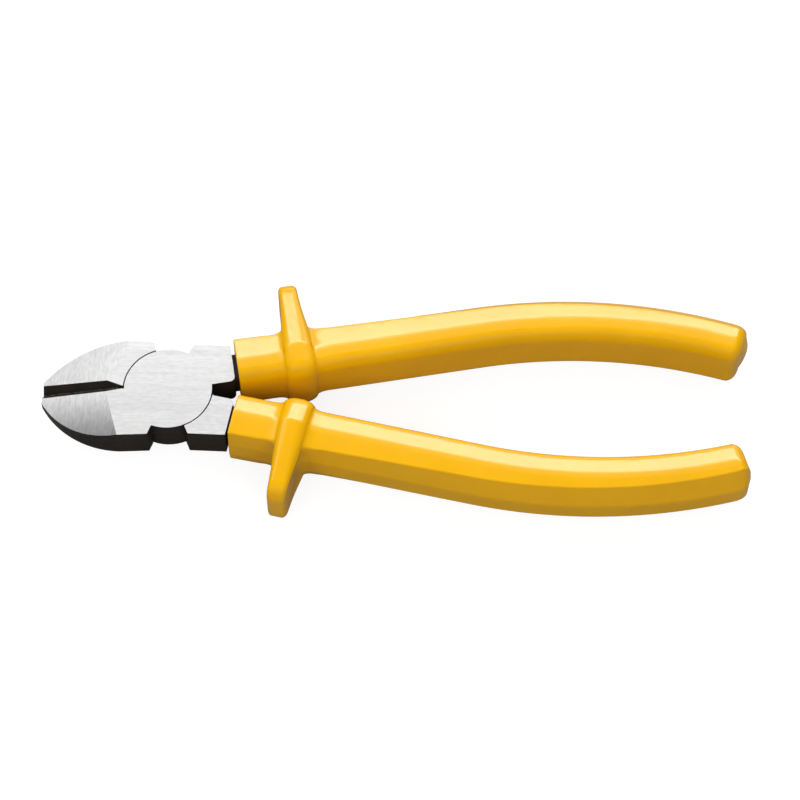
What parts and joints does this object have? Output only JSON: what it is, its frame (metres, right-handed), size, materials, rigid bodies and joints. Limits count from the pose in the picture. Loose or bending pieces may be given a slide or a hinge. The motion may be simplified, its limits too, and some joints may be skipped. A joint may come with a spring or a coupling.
{
  "type": "side cutters",
  "caption": "Diagonal side cutters: lap-jointed forged jaws with bevelled cutting edges, and long moulded grips with finger guards.",
  "frame": {"origin": "on the joint axis, at the ground rear face of the head", "axes": "+X from the jaws towards the handles, +Z along the joint axis out of the ground front face, +Y across the tool"},
  "size_m": [0.1601, 0.0548, 0.0186],
  "materials": {
    "forged_steel": "bright ground faces, blackened sides",
    "rivet_steel": "ground flush",
    "grip_plastic": "glossy yellow"
  },
  "bodies": {
    "front_half": {"front_lever": "forged_steel", "joint_rivet": "rivet_steel", "upper_grip": "grip_plastic"},
    "rear_half": {"rear_lever": "forged_steel", "lower_grip": "grip_plastic"}
  },
  "joints": [
    {"name": "jaw_pivot", "type": "hinge", "parent": "front_half", "child": "rear_half", "pos_m": [0, 0, 0.0042], "axis": [0, 0, -1], "range_deg": [0, 38]}
  ]
}
